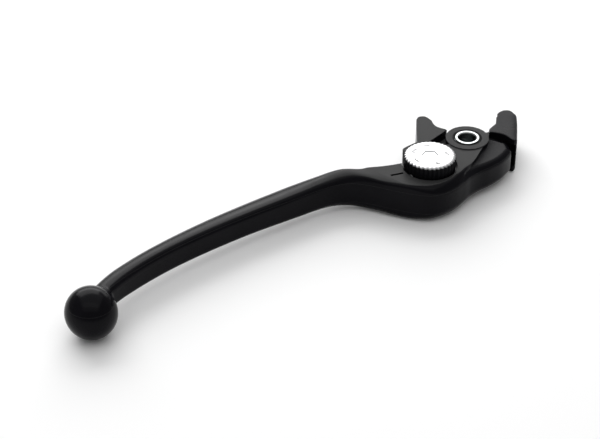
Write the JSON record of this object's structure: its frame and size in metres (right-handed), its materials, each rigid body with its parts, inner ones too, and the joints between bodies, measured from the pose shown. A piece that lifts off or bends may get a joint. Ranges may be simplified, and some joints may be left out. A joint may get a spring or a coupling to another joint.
{
  "type": "motorcycle clutch lever",
  "caption": "Motorcycle clutch lever: a curved ball-ended blade and a hooked knocker that share a pivot bush, with a numbered knurled dial that sets the reach.",
  "frame": {"origin": "on the pivot axis, at the lever's mid-plane", "axes": "+Z along the pivot axis to the dial's side, -X out along the blade to the ball end, +Y forwards, away from the rider"},
  "size_m": [0.2224, 0.0479, 0.0233],
  "materials": {
    "blade_paint": "gloss black coat on cast aluminium, with milled faces in dark satin",
    "knocker_paint": "satin black coat on cast aluminium",
    "bush_zinc": "bright zinc plate",
    "liner_bronze": "sintered bronze",
    "seal_rubber": "plain black",
    "dial_aluminium": "polished top, dark knurled edge",
    "shaft_steel": "bright zinc plate",
    "small_steel": "plain ground steel"
  },
  "bodies": {
    "pivot": {"pivot_bush": "bush_zinc"},
    "knocker": {"knocker": "knocker_paint", "knocker_liner": "liner_bronze", "follower_pin": "small_steel"},
    "blade": {"lever_blade": "blade_paint", "upper_thrust_washer": "small_steel", "lower_thrust_washer": "small_steel", "upper_dust_seal": "seal_rubber", "lower_dust_seal": "seal_rubber", "wave_washer": "small_steel", "detent_spring": "small_steel", "preload_spring": "small_steel"},
    "dial": {"adjuster_dial": "dial_aluminium", "dial_shaft": "shaft_steel", "reach_cam": "small_steel", "cam_drive_pin": "small_steel", "shaft_washer": "small_steel", "shaft_circlip": "small_steel"},
    "detent": {"detent_ball": "small_steel"},
    "plunger": {"spring_cup": "small_steel"}
  },
  "joints": [
    {"name": "lever_pull", "type": "hinge", "parent": "pivot", "child": "knocker", "pos_m": [0, 0, 0], "axis": [0, 0, 1], "range_deg": [0, 20]},
    {"name": "reach_adjust", "type": "hinge", "parent": "knocker", "child": "blade", "pos_m": [0, 0, 0], "axis": [0, 0, 1], "range_deg": [-2.45, 3.05]},
    {"name": "dial_turn", "type": "hinge", "parent": "blade", "child": "dial", "pos_m": [-0.0256, -0.0063, 0], "axis": [0, 0, 1], "range_deg": [-150, 120]},
    {"name": "detent_click", "type": "slide", "parent": "blade", "child": "detent", "axis": [0, 0, -1], "range_m": [0, 0.0006], "stiffness_N_per_m": 200, "springref_m": -0.001, "deforming": ["detent_spring"]},
    {"name": "plunger_slide", "type": "slide", "parent": "blade", "child": "plunger", "axis": [0, 1, 0], "range_m": [-0.00075, 0.00093]}
  ],
  "couplings": [
    {"joint": "reach_adjust", "follows": "dial_turn", "ratio": -0.02},
    {"joint": "plunger_slide", "follows": "dial_turn", "m_per_rad": -0.00035}
  ]
}
